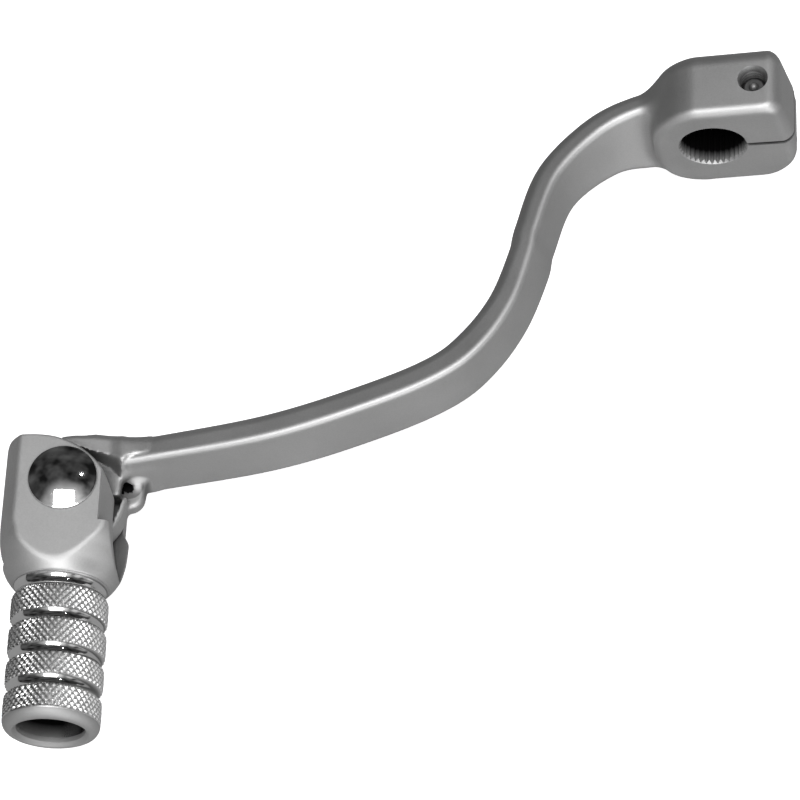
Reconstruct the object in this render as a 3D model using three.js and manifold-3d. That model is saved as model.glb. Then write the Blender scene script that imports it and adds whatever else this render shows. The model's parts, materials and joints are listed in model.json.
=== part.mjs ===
// Motorcycle gear shift lever with a folding toe peg.
// Millimetres. +X runs along the lever towards the splined boss, +Y is inboard (towards the
// engine), -Y outboard (towards the foot), +Z is up. The shape is laid out about the centre of the
// splined bore and then moved so that the frame's origin lies on the boss's inboard face.
import * as THREE from "three";
import { mergeVertices } from "three/addons/utils/BufferGeometryUtils.js";
import Module from "manifold-3d";

const wasm = await Module();
wasm.setup();

// ---- driving dimensions ----
const GAP = 0.3; // clearance between neighbouring pieces
const THROUGH = 20; // a cutter reaches this far past what it cuts
const ROUND = 40; // facets round a large circle
const SEAT = { y: -7.5, z: 8.2 }; // bore centre from the frame's origin on the inboard face
const ARM_TILT = 9.5; // degrees the forging is rolled from the hinge axis, about the bore's axis

const BOSS = { left: -11.3, right: 16, bottom: -11.3, top: 12, half: 7.5, edge: 1.8 };
const BOSS_CORNER = { bottomLeft: 9, bottomRight: 7, topRight: 3, topLeft: 7 };
const SPLINE = { root: 6.75, tip: 6.2, teeth: 36 };
const SLIT = 1;
const BOLT = { x: 8.6, shank: 3, hex: 4, hexHigh: 4.6, flange: 6.4, flangeHigh: 1.3, long: 20 };
const SPOT_FACE = { radius: 7.2, deep: 0.9 };
const TAPPED = { radius: 2.6, mouth: 2.95, mouthDeep: 0.5, deep: 2.4 };

const ARM = { height: 12, halfThick: 3, edge: 2.2, mid: -1.9, lean: 0.08, steps: 34 };
// Plan-view centre line of the arm, from the knuckle to the boss.
const ARM_LINE = [
  [-105, -66.9], [-83, -63.5], [-64, -58.1], [-51.1, -52.9], [-44.1, -47.4], [-38.9, -39.2],
  [-36.4, -29.1], [-35.1, -23.5], [-30.6, -12.1], [-22.1, -3.2], [-14, 1], [-5, 2.2],
];
const NECK = { from: -30, to: -8, grow: 5 }; // the arm deepens as it runs into the boss

const PIN_AT = [-118.7, -74.75, -20]; // hinge centre, from the bore's centre
const PIN = { radius: 3, head: 6.35, rim: 0.8, dome: 1.6, tail: 12.4, groove: 2.3 };
const TONGUE = { radius: 11.2, half: 3.2 };
const KNUCKLE = { low: -5.6, high: 6.2, upperSweep: 10, lowerSweep: 12.6 };
// Plan outline of the full-height knuckle, about the pin.
const KNUCKLE_PLAN = [
  [-1.5, 9.8], [1.1, 10.6], [5.1, 11.1], [8, 10.9], [10.8, 10.4], [15.3, 10.8], [18.6, 11.4],
  [18.6, 6], [12.6, 5.6], [10.4, 5.8], [6, 6],
];
const LUG = { x: 11.6, y: 1, radius: 2.7 }; // keeps the spring's leg in its pocket
const POCKET = { x: 11.2, y: 2.9, radius: 1.6 };
const BUSH = { outer: 4.3, inner: 3.3, half: 3 };
const RECESS = { radius: 7.6, floor: -1.6 };
const LEG_CHANNEL = { half: 1.1, floor: -1.6, angle: 14 };
const SPRING = { wire: 0.6, radius: 5.95, turns: 2.3, low: -0.8, high: 2.3 };

const BODY = { radius: 12, flat: 9.3, rear: 8.7, corner: 2.5 };
const SLOT = { half: 3.5, end: -14.8 };
const EAR_ARC = { x: -2.6, y: -2.2, radius: 10.7 }; // rounds the ears' rear corner
const RELIEF = { top: 7.1, bottom: 9.3, end: -8.2 }; // slope on the upper ear's side
// Shoulder profile, (radius, distance along the peg).
const SHOULDER = [[12, -8], [11.7, -10.5], [11.1, -12.5], [10.2, -14.3], [9.5, -16], [8.85, -18.6]];
const PEG = { radius: 8.8, groove: 8.15, knurlEnd: -44.3, end: -45.5, bore: 6.45, boreDeep: 22 };
const GROOVES = [[-18.6, -21], [-25.9, -27.6], [-32.5, -34.2], [-38.4, -40.2]];
const WASHER = { radius: 6, thick: 0.8 };
const CLIP = { outer: 5, thick: 0.8, mouth: 1.5 };
const BLIND = { radius: 1, deep: 3 }; // hole in the upper ear for the spring's tang
const TANG_ANGLE = LEG_CHANNEL.angle - 360 * SPRING.turns;

// ---- helpers ----
function solid(geometry, matrix) {
  const g = geometry.clone();
  if (matrix) g.applyMatrix4(matrix);
  g.deleteAttribute("normal");
  g.deleteAttribute("uv");
  const merged = mergeVertices(g, 1e-4);
  return new wasm.Manifold(new wasm.Mesh({
    numProp: 3,
    vertProperties: new Float32Array(merged.attributes.position.array),
    triVerts: new Uint32Array(merged.index.array),
  }));
}

function geometryOf(manifold) {
  const m = manifold.getMesh();
  const points = new Float32Array(m.numVert * 3);
  for (let i = 0; i < m.numVert; i++) {
    points.set(m.vertProperties.subarray(i * m.numProp, i * m.numProp + 3), i * 3);
  }
  return new THREE.BufferGeometry()
    .setAttribute("position", new THREE.BufferAttribute(points, 3))
    .setIndex(new THREE.BufferAttribute(new Uint32Array(m.triVerts), 1));
}

const radians = THREE.MathUtils.degToRad;
const move = (x, y, z) => new THREE.Matrix4().makeTranslation(x, y, z);
const uprightToOutboard = new THREE.Matrix4().makeRotationX(radians(90));
const tilted = new THREE.Matrix4().makeRotationY(radians(-ARM_TILT));

// A body turned about Y from [radius, y] pairs that start and end on the axis.
function turned(profile, facets = ROUND) {
  return new THREE.LatheGeometry(profile.map(([r, y]) => new THREE.Vector2(r, y)), facets);
}

// The same about Z.
function turnedUp(profile, facets = ROUND) {
  return turned(profile, facets).applyMatrix4(uprightToOutboard);
}

function cylinder(radius, low, high, facets = ROUND) {
  return turnedUp([[0, low], [radius, low], [radius, high], [0, high]], facets);
}

// A block between two corners.
function block([x0, x1], [y0, y1], [z0, z1]) {
  return new THREE.BoxGeometry(x1 - x0, y1 - y0, z1 - z0)
    .translate((x0 + x1) / 2, (y0 + y1) / 2, (z0 + z1) / 2);
}

// A plan-view outline between two heights.
function plate(points, low, high) {
  const shape = new THREE.Shape(points.map(([x, y]) => new THREE.Vector2(x, y)));
  return new THREE.ExtrudeGeometry(shape, { depth: high - low, bevelEnabled: false })
    .translate(0, 0, low);
}

// ---- lever arm, laid out square to the boss and tilted afterwards ----
function bossGeometry() {
  const e = BOSS.edge;
  const [l, r, b, t] = [BOSS.left + e, BOSS.right - e, BOSS.bottom + e, BOSS.top - e];
  const { bottomLeft, bottomRight, topRight, topLeft } = BOSS_CORNER;
  const shape = new THREE.Shape();
  shape.absarc(l + bottomLeft - e, b + bottomLeft - e, bottomLeft - e, Math.PI, 1.5 * Math.PI);
  shape.absarc(r - bottomRight + e, b + bottomRight - e, bottomRight - e, 1.5 * Math.PI, 2 * Math.PI);
  shape.absarc(r - topRight + e, t - topRight + e, topRight - e, 0, 0.5 * Math.PI);
  shape.absarc(l + topLeft - e, t - topLeft + e, topLeft - e, 0.5 * Math.PI, Math.PI);
  const depth = 2 * (BOSS.half - e);
  return new THREE.ExtrudeGeometry(shape, {
    depth, bevelThickness: e, bevelSize: e, bevelSegments: 3, curveSegments: 6,
  }).translate(0, 0, -depth / 2).applyMatrix4(uprightToOutboard);
}

// Serrated bore: root and tip radii in turn.
function splineCutter() {
  const points = [];
  for (let i = 0; i < 2 * SPLINE.teeth; i++) {
    const radius = i % 2 ? SPLINE.tip : SPLINE.root;
    const a = (i * Math.PI) / SPLINE.teeth;
    points.push([radius * Math.cos(a), radius * Math.sin(a)]);
  }
  return plate(points, -THROUGH, THROUGH).applyMatrix4(uprightToOutboard);
}

// The arm: its centre line offset to both sides, extruded with rounded edges, then leant and
// deepened towards the boss.
function armGeometry() {
  const line = new THREE.SplineCurve(ARM_LINE.map(([x, y]) => new THREE.Vector2(x, y)));
  const inset = ARM.halfThick - ARM.edge;
  const left = [];
  const right = [];
  for (let i = 0; i <= ARM.steps; i++) {
    const p = line.getPointAt(i / ARM.steps);
    const t = line.getTangentAt(i / ARM.steps);
    left.unshift(new THREE.Vector2(p.x - t.y * inset, p.y + t.x * inset));
    right.push(new THREE.Vector2(p.x + t.y * inset, p.y - t.x * inset));
  }
  const depth = ARM.height - 2 * ARM.edge;
  const g = new THREE.ExtrudeGeometry(new THREE.Shape([...right, ...left]), {
    depth, bevelThickness: ARM.edge, bevelSize: ARM.edge, bevelSegments: 4,
  }).translate(0, 0, -depth / 2);
  const at = g.attributes.position;
  for (let i = 0; i < at.count; i++) {
    const z = at.getZ(i);
    const x = at.getX(i) - z * ARM.lean;
    const deeper = 1 + (THREE.MathUtils.smoothstep(x, NECK.from, NECK.to) * NECK.grow) / ARM.height;
    at.setXYZ(i, x, at.getY(i) + z * ARM.lean, ARM.mid + z * deeper);
  }
  return g;
}

function boltHole() {
  const top = BOSS.top;
  const bore = BOLT.shank + GAP;
  return solid(turnedUp([
    [0, BOSS.bottom - THROUGH], [SPOT_FACE.radius, BOSS.bottom - THROUGH],
    [SPOT_FACE.radius, BOSS.bottom + SPOT_FACE.deep], [bore, BOSS.bottom + SPOT_FACE.deep],
    [bore, top - TAPPED.deep], [TAPPED.radius, top - TAPPED.deep],
    [TAPPED.radius, top - TAPPED.mouthDeep], [TAPPED.mouth, top + 0.1], [0, top + 0.1],
  ]), move(BOLT.x, 0, 0));
}

function forging() {
  const slit = block([0, BOSS.right + 1], [-THROUGH, THROUGH], [-SLIT / 2, SLIT / 2]);
  return solid(armGeometry())
    .add(solid(bossGeometry()))
    .subtract(solid(splineCutter()))
    .subtract(solid(slit))
    .subtract(boltHole());
}

// Everything about the hinge, laid out from the hinge centre.
function tongue() {
  const { half, radius } = TONGUE;
  const web = plate([[6, 0], [LUG.x + 1, LUG.y - 1], [18, 6], [18, 10], [6, 10]], -half, half);
  return solid(cylinder(radius, -half, half))
    .add(solid(cylinder(LUG.radius, -half, half, 20), move(LUG.x, LUG.y, 0)))
    .add(solid(web));
}

function hingeCuts() {
  const leg = block([0, POCKET.x + 0.2], [-LEG_CHANNEL.half, LEG_CHANNEL.half],
    [LEG_CHANNEL.floor, TONGUE.half + 1]);
  return solid(cylinder(BUSH.outer + GAP / 2, -THROUGH, THROUGH))
    .add(solid(cylinder(RECESS.radius, RECESS.floor, TONGUE.half + 1)))
    .add(solid(leg, new THREE.Matrix4().makeRotationZ(radians(LEG_CHANNEL.angle))))
    .add(solid(cylinder(POCKET.radius, -THROUGH, TONGUE.half + 1, 20), move(POCKET.x, POCKET.y, 0)));
}

function leverArm() {
  const sweep = solid(cylinder(KNUCKLE.upperSweep, TONGUE.half, THROUGH))
    .add(solid(cylinder(KNUCKLE.lowerSweep, -THROUGH, -TONGUE.half)));
  const knuckle = solid(plate(KNUCKLE_PLAN, KNUCKLE.low, KNUCKLE.high));
  const aboutPin = move(...PIN_AT).invert().multiply(tilted);
  return forging()
    .transform([...aboutPin.elements])
    .add(knuckle)
    .subtract(sweep)
    .add(tongue())
    .subtract(hingeCuts());
}

// ---- folding tip ----
function tipProfile() {
  const rounding = 1.4;
  const out = [
    [0, PEG.end + PEG.boreDeep], [PEG.bore, PEG.end + PEG.boreDeep - 3],
    [PEG.bore, PEG.end + 0.5], [PEG.bore + 0.5, PEG.end],
    [PEG.radius - rounding, PEG.end], [PEG.radius - 0.4, PEG.end + 0.4],
    [PEG.radius, PEG.end + rounding],
  ];
  for (const [near, far] of [...GROOVES].reverse()) {
    out.push([PEG.radius, far - 0.3], [PEG.groove, far], [PEG.groove, near]);
    if (near !== GROOVES[0][0]) out.push([PEG.radius, near + 0.3]);
  }
  out.push(...[...SHOULDER].reverse(), [BODY.radius, BODY.rear], [0, BODY.rear]);
  return out;
}

// Side view of the upper ear's relief, cut away to the right of the slope.
function relief() {
  const slope = [
    [RELIEF.bottom, SLOT.half], [THROUGH, SLOT.half], [THROUGH, BODY.flat + 1], [RELIEF.top, BODY.flat + 1],
  ];
  return solid(plate(slope, -THROUGH, -RELIEF.end).applyMatrix4(uprightToOutboard));
}

// Rounds the ears' rear right corner: what lies behind and right of the arc.
function rearCorner() {
  const shape = new THREE.Shape();
  shape.moveTo(EAR_ARC.x, THROUGH);
  shape.lineTo(EAR_ARC.x, EAR_ARC.y + EAR_ARC.radius);
  shape.absarc(EAR_ARC.x, EAR_ARC.y, EAR_ARC.radius, Math.PI / 2, 0, true);
  shape.lineTo(THROUGH, EAR_ARC.y);
  shape.lineTo(THROUGH, THROUGH);
  return solid(new THREE.ExtrudeGeometry(shape, {
    depth: 2 * THROUGH, bevelEnabled: false, curveSegments: 16,
  }).translate(0, 0, -THROUGH));
}

function foldingTip() {
  const wide = [-THROUGH, THROUGH];
  const clevisAndPeg = solid(turned(tipProfile(), 56));
  const keep = solid(block(wide, [SHOULDER.at(-1)[1], THROUGH], [-BODY.flat, BODY.flat]))
    .add(solid(block(wide, [-60, SHOULDER.at(-1)[1] + 0.01], wide)));
  return clevisAndPeg.intersect(keep)
    .subtract(relief())
    .subtract(rearCorner())
    .subtract(solid(block(wide, [SLOT.end, THROUGH], [-SLOT.half, SLOT.half])))
    .subtract(solid(cylinder(PIN.radius + GAP / 2, -THROUGH, THROUGH)))
    .subtract(solid(cylinder(BLIND.radius, 0, SLOT.half + BLIND.deep, 16),
      new THREE.Matrix4().makeRotationZ(radians(TANG_ANGLE)).multiply(move(SPRING.radius, 0, 0))));
}

// ---- hinge hardware ----
function pivotPin() {
  const seat = BODY.flat + GAP / 2;
  const top = seat + PIN.rim;
  const dome = [];
  const steps = 6;
  for (let i = 0; i <= steps; i++) {
    const a = (i / steps) * (Math.PI / 2);
    dome.push([PIN.head * Math.cos(a), top + PIN.dome * Math.sin(a)]);
  }
  const grooveAt = -BODY.flat - WASHER.thick - GAP - 0.1;
  return solid(turnedUp([
    [0, -PIN.tail], [PIN.radius - 0.4, -PIN.tail], [PIN.radius, -PIN.tail + 0.4],
    [PIN.radius, grooveAt - CLIP.thick - 0.3], [PIN.groove, grooveAt - CLIP.thick - 0.3],
    [PIN.groove, grooveAt], [PIN.radius, grooveAt], [PIN.radius, seat], [PIN.head, seat],
    ...dome.slice(0, -1), [0, top + PIN.dome],
  ]));
}

function ring(inner, outer, low, high, facets = ROUND) {
  return solid(cylinder(outer, low, high, facets))
    .subtract(solid(cylinder(inner, low - 1, high + 1, facets)));
}

function pinClip() {
  const high = -BODY.flat - WASHER.thick - GAP - 0.25;
  const mouth = block([0, THROUGH], [-CLIP.mouth, CLIP.mouth], [-THROUGH, 0]);
  return ring(PIN.groove + 0.15, CLIP.outer, high - CLIP.thick, high).subtract(solid(mouth));
}

// Torsion spring: coil, a radial leg at the bottom and an upright tang at the top.
class SpringLine extends THREE.Curve {
  getPoint(t) {
    const { radius, turns, low, high } = SPRING;
    const start = radians(LEG_CHANNEL.angle);
    const bend = 0.08;
    if (t < bend) {
      const reach = THREE.MathUtils.lerp(POCKET.x - 0.4, radius, t / bend);
      return new THREE.Vector3(reach * Math.cos(start), reach * Math.sin(start), low);
    }
    const tang = 0.94;
    const k = Math.min(1, (t - bend) / (tang - bend));
    const a = start - k * turns * 2 * Math.PI;
    const rise = t > tang ? ((t - tang) / (1 - tang)) * (SLOT.half + BLIND.deep - 0.6 - high) : 0;
    const z = THREE.MathUtils.lerp(low, high, k) + rise;
    return new THREE.Vector3(radius * Math.cos(a), radius * Math.sin(a), z);
  }
}

function returnSpring() {
  const section = new THREE.Shape();
  section.absarc(0, 0, SPRING.wire, 0, 2 * Math.PI);
  return new THREE.ExtrudeGeometry(section, {
    steps: 110, curveSegments: 4, extrudePath: new SpringLine(),
  });
}

// ---- pinch bolt, along the boss's own upright ----
function pinchBolt() {
  const seat = BOSS.bottom + SPOT_FACE.deep - GAP / 2;
  const under = seat - BOLT.flangeHigh;
  const shank = turnedUp([
    [0, under - 0.01], [BOLT.flange - 1, under - 0.01], [BOLT.flange, under + 0.5], [BOLT.flange, seat],
    [BOLT.shank, seat], [BOLT.shank, TAPPED_TOP - 0.5], [BOLT.shank - 0.5, TAPPED_TOP], [0, TAPPED_TOP],
  ]);
  const hex = cylinder(BOLT.hex / Math.cos(Math.PI / 6), under - BOLT.hexHigh, under + 0.2, 6);
  return solid(shank).add(solid(hex));
}
const TAPPED_TOP = BOSS.top - TAPPED.deep - GAP;

// ---- materials and assembly ----
const satin = { color: 0x9a9a9a, roughness: 0.5, metalness: 0.85 };
const bright = { color: 0xc8c8c8, roughness: 0.25, metalness: 1 };
const polished = { color: 0xe6e6e6, roughness: 0.05, metalness: 1 };
const bronze = { color: 0xa9793c, roughness: 0.4, metalness: 0.9 };
const dark = { color: 0x3a3a3c, roughness: 0.4, metalness: 0.9 };

function piece(name, geometry, look) {
  const mesh = new THREE.Mesh(geometry, new THREE.MeshStandardMaterial(look));
  mesh.name = name;
  return mesh;
}

const hinge = new THREE.Group();
hinge.position.set(...PIN_AT);
hinge.add(
  piece("lever_arm", geometryOf(leverArm()), satin),
  piece("folding_tip", geometryOf(foldingTip()), satin),
  piece("pivot_pin", geometryOf(pivotPin()), polished),
  piece("pivot_bush", geometryOf(ring(BUSH.inner, BUSH.outer, -BUSH.half, BUSH.half)), bronze),
  piece("return_spring", returnSpring(), dark),
  piece("pin_washer", geometryOf(
    ring(PIN.radius + 0.2, WASHER.radius, -BODY.flat - WASHER.thick - 0.2, -BODY.flat - 0.2)), bright),
  piece("pin_clip", geometryOf(pinClip()), dark),
);

const boss = new THREE.Group();
boss.rotation.y = radians(-ARM_TILT);
const bolt = piece("pinch_bolt", geometryOf(pinchBolt()), dark);
bolt.position.x = BOLT.x;
boss.add(bolt);

const lever = new THREE.Group();
lever.name = "gear_shift_lever";
const layout = new THREE.Group();
layout.position.set(0, SEAT.y, SEAT.z);
layout.add(hinge, boss);
lever.add(layout);

export default lever;
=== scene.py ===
"""Gear shift lever with a folding toe peg: the visual model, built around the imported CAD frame.

Shapes are laid out in millimetres in one of two sets of axes:
  boss axes   about the splined bore's centre, rolled by ARM_TILT about the bore's axis
  hinge axes  about the folding tip's pin, parallel to the row frame
"""
import json
import math

import bpy
import numpy as np
from mathutils import Matrix, Vector

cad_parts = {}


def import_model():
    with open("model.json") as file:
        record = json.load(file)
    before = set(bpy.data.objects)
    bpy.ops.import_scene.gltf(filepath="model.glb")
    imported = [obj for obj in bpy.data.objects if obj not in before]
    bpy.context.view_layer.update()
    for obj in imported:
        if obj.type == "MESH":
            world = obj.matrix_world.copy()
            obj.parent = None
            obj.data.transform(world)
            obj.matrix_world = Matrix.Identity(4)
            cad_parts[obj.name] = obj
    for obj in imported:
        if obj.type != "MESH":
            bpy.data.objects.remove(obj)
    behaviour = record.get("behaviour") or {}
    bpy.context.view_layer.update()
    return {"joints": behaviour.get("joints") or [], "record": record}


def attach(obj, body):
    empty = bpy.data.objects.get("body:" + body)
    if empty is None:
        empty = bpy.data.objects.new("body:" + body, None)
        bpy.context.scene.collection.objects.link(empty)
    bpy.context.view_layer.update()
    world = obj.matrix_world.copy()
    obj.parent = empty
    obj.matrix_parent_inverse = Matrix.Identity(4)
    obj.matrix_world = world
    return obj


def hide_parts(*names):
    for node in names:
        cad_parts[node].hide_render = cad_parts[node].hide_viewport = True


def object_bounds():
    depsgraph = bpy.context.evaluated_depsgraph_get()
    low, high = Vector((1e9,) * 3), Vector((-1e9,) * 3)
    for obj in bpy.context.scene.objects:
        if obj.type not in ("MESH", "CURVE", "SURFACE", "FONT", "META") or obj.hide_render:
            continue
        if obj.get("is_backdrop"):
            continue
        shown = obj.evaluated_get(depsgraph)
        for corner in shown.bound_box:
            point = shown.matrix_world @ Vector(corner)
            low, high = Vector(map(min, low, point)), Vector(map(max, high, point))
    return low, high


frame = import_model()

# ---------------------------------------------------------------- places from the frame
MM = 0.001
RECORD = frame["record"]
ARM_TILT = math.radians(9.5)
BORE_BOX = np.array(RECORD["physics"]["openings"][0]["box_m"]) / MM
FACES_Y = [m["pos_m"][1] / MM for m in RECORD["mounts"]]
BORE = np.array([BORE_BOX[:, 0].mean(), sum(FACES_Y) / len(FACES_Y), BORE_BOX[:, 2].mean()])
HINGE = np.array(frame["joints"][0]["pos_m"]) / MM
HINGE_FROM_BORE = HINGE - BORE

# ---------------------------------------------------------------- driving dimensions, mm
BOSS = dict(left=-11.3, right=15.4, bottom=-12.2, bottom_slope=0.03, top=11.35, top_slope=0.035,
            half=7.5, back=7.3, edge=1.7, low_edge=0.5, back_edge=4.2, back_low_edge=1.8, side_edge=2.6,
            lean=0.16)
BOSS_CORNER = dict(bottom_left=10.5, bottom_right=7, top_right=2.6, top_left=10)
# Where the boss's rounding changes: along its top, down its height and towards its right side.
BOSS_BLEND = dict(top=(-5, 9), low=(2, 9), side=(9, 15.5))
NECK_FILLET = 3.0
SPLINE = dict(root=6.45, tip=6.05, teeth=36)
# One tooth of the bore: a radius and a place in tooth pitches for each of its four corners.
TOOTH = [(SPLINE["tip"], -0.32), (SPLINE["tip"], -0.18), (SPLINE["root"], 0.18), (SPLINE["root"], 0.32)]
SLIT = 1.0
BOLT = dict(x=8.6, y=-0.4, shank=3.0, hex=4.0, hex_high=4.6, flange=6.4, flange_high=1.3)
SPOT_FACE = dict(radius=6.6, z=-10.4)
TAPPED = dict(radius=2.5, mouth=2.75, mouth_deep=0.5, deep=4.2)

# Plan centre line of the arm in boss axes, from the knuckle to the boss, with one value each of
# how far the back stands off the line, the lean of the front face per mm of height, the height
# of the crown's front edge and the height of the underside.
ARM_LINE = np.array([
    [-107.5, -66.9], [-83, -63.5], [-64, -58.1], [-51.1, -52.9], [-44.1, -47.4], [-38.9, -39.2],
    [-35.9, -29.3], [-34.8, -23.7], [-30.7, -12.1], [-22.4, -3.1], [-14, 1], [-5, 2.2]])
ARM_FRONT = 2.75
ARM_BACK = [3.3, 3.5, 3.5, 3.5, 3.7, 3.2, 2.6, 2.5, 2.7, 2.6, 2.3, 2.2]
ARM_LEAN = [.10, .11, .11, .09, .06, .07, .12, .12, .12, .22, .31, .33]
ARM_TOP = [4.3, 4.5, 4.5, 4.5, 4.5, 4.5, 4.5, 4.5, 4.5, 4.7, 5.2, 5.6]
ARM_LOW = [-7.6, -7.5, -7.5, -7.5, -7.5, -7.5, -7.5, -7.5, -7.8, -8.4, -9.4, -10.4]
CROWN_FALL = math.radians(11)
ARM_RADIUS = dict(ridge=1.2, back=2.7, end=1.0)
ARM_PAST = 2.3  # how far the arm's body runs on past either end of its line
UNDERSIDE_FALL = 0.06  # mm lower per mm towards the back

TONGUE = dict(radius=11.2, rim=10.3, corner=9.7, corner_y=-0.3, corner_z=-0.5, top=2.9, low=-3.2, edge=0.45)
KNUCKLE = dict(low=-5.0, high=6.0, drop=(12.7, 14.5), lean=0.1, lean_from=(9, 13), fillet=3.0)
# What the ears sweep as they fold: their reach from the pin, and the directions between which it
# goes from far to near.
SWEEP = dict(near=8.1, far=10.6, angles=(math.radians(5), math.radians(65)), lower=12.6)
# The web from the tongue up to the knuckle's top: its slope and how the top falls away.
WEB = dict(ramp=0.5, ramp_growth=0.9, rim=(0.6, -0.2), back_fall=0.05, level_at=5, right_fall=1.2,
           right=(9.5, 14), edge=0.8, back_edge=1.4, back=(7, 11))
KNUCKLE_PLAN = np.array([
    [-2.2, 10.3], [0.6, 11.2], [4.6, 11.8], [8, 11.5], [11, 10.9], [15, 11.0],
    [15, 7.2], [12.8, 6.9], [11.2, 6.3], [10.3, 5.2], [9.9, 3.4], [9.6, 0.5], [4, 0]])
LUG = dict(x=11.2, y=1.5, radius=2.9, top=0.0, edge=0.7, fillet=0.6)
POCKET = dict(x=11.0, y=3.3, radius=1.85, top=0.5)
ARCH = dict(x=11.6, y=4.8, radius=2.6, top=-1.3)
HOLLOW_FLOOR = 0.5  # what is left of the tongue under the pocket and the arch
BUSH = dict(outer=4.3, inner=3.3, half=3.0)
RECESS = dict(radius=7.6, floor=-1.6)
CHANNEL = dict(half=1.1, floor=-1.6, top=0.5, angle=math.radians(14))
SPRING = dict(wire=0.6, radius=5.95, turns=2.3, low=-0.8, high=2.3, leg=9.9, tang=5.9)

BODY = dict(side=12.0, side_edge=2.0, flat=9.3, high=9.7, rear=9.1, corner=1.7, edge=0.35)
SLOT = dict(half=3.5, end=-14.8, edge=0.25)
EAR_ARC = dict(x=-5.8, y=-6.85, radius=15.8)
EAR_ARC_SIDE = 1.3  # the arc rounds only what lies beyond a line of this slope through its centre
LOWER_EAR = 12.0
EAR_EDGE = dict(upper=0.6, lower=0.4)
RELIEF = dict(top=7.1, bottom=9.3, lower=10.3, belly=11.5, end=-8.2, lower_end=-4.6, blend=3)
SCOOP = dict(x=53.9, y=-4.6, radius=44.8)
# Radius along the shoulder at the sides, and over its crown where it is flatter.
SHOULDER = np.array([[12.9, -6], [12.9, -8], [12.5, -11], [11.9, -13], [11.3, -14.5], [10.6, -15.8],
                     [9.8, -17.0], [8.95, -18.1], [8.9, -19.2]])
SHOULDER_TOP = np.array([[12.9, -6], [12.85, -8], [12.2, -10.5], [11.5, -12.3], [10.7, -14.0], [10.05, -15.4],
                         [9.45, -16.8], [8.95, -18.1], [8.9, -19.2]])
# The crown's rise per mm towards the left, and the places along the tip where it comes and goes.
SHOULDER_SKEW = dict(rise=0.07, comes=(9, 13), goes=(-18.1, -15))
CROWN_SHARE = (0.35, 1.0)  # height over radius between which the sides turn into the crown
PEG = dict(radius=8.95, groove=8.2, end=-46.4, round=1.9, bore=6.3, bore_deep=22, knurl_end=-44.9,
           shift=0.15, lean=0.012, lean_from=(8, 18))
GROOVES = [[-18.1, -20.7], [-25.2, -27.2], [-31.9, -33.9], [-38.0, -40.1]]
KNURL = dict(starts=44, helix=math.radians(42), deep=0.36, flank=0.72, crown=0.10)
PIN = dict(radius=3.0, head=6.35, rim=0.25, dome=1.5, tail=12.4, groove=2.3)
WASHER = dict(radius=6.0, thick=0.8)
CLIP = dict(outer=5.0, middle=3.6, thick=0.8, mouth=1.5)
GAP = 0.3
THREAD = dict(pitch=0.8, hole_from=0.3, bolt_from=0.2, runout=1.4)
SOFT = dict(fine=0.2, small=0.3, medium=0.5)  # radii of edges that are only broken
THROUGH = 3  # how far a cutter stands past what it cuts


# ---------------------------------------------------------------- distance fields
def round_and(a, b, r):
    """Intersection whose edge has radius r."""
    return np.minimum(-r, np.maximum(a, b)) + np.hypot(np.maximum(r + a, 0), np.maximum(r + b, 0))


def round_or(a, b, r):
    """Union with a fillet of radius r."""
    return np.maximum(r, np.minimum(a, b)) - np.hypot(np.maximum(r - a, 0), np.maximum(r - b, 0))


def round_cut(a, b, r):
    return round_and(a, -b, r)


def smooth(x, start, end):
    t = np.clip((x - start) / (end - start), 0, 1)
    return t * t * (3 - 2 * t)


def polygon(points, x, y):
    """Signed distance to a plan polygon, negative inside."""
    best = np.full(np.broadcast(x, y).shape, np.inf)
    inside = np.zeros(best.shape, bool)
    for (x0, y0), (x1, y1) in zip(points, np.roll(points, -1, axis=0)):
        ex, ey = x1 - x0, y1 - y0
        t = np.clip(((x - x0) * ex + (y - y0) * ey) / (ex * ex + ey * ey), 0, 1)
        best = np.minimum(best, np.hypot(x - x0 - t * ex, y - y0 - t * ey))
        if y0 != y1:
            inside ^= ((y0 > y) != (y1 > y)) & (x < x0 + (y - y0) * ex / ey)
    return np.where(inside, -best, best)


def to_hinge(x, y, z):
    """Boss axes to hinge axes."""
    c, s = math.cos(ARM_TILT), math.sin(ARM_TILT)
    return x * c - z * s - HINGE_FROM_BORE[0], y - HINGE_FROM_BORE[1], x * s + z * c - HINGE_FROM_BORE[2]


def catmull(points, t):
    """Point, first and second derivative at t (0 to len - 1) on a Catmull-Rom line."""
    padded = np.vstack([2 * points[0] - points[1], points, 2 * points[-1] - points[-2]])
    k = np.clip(t.astype(int), 0, len(points) - 2)
    u = (t - k)[:, None]
    a, b, c, d = (padded[k + i] for i in range(4))
    v, w, q = (c - a) / 2, (2 * a - 5 * b + 4 * c - d) / 2, (3 * b - a - 3 * c + d) / 2
    return b + u * (v + u * (w + u * q)), v + u * (2 * w + 3 * u * q), 2 * w + 6 * u * q


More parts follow.
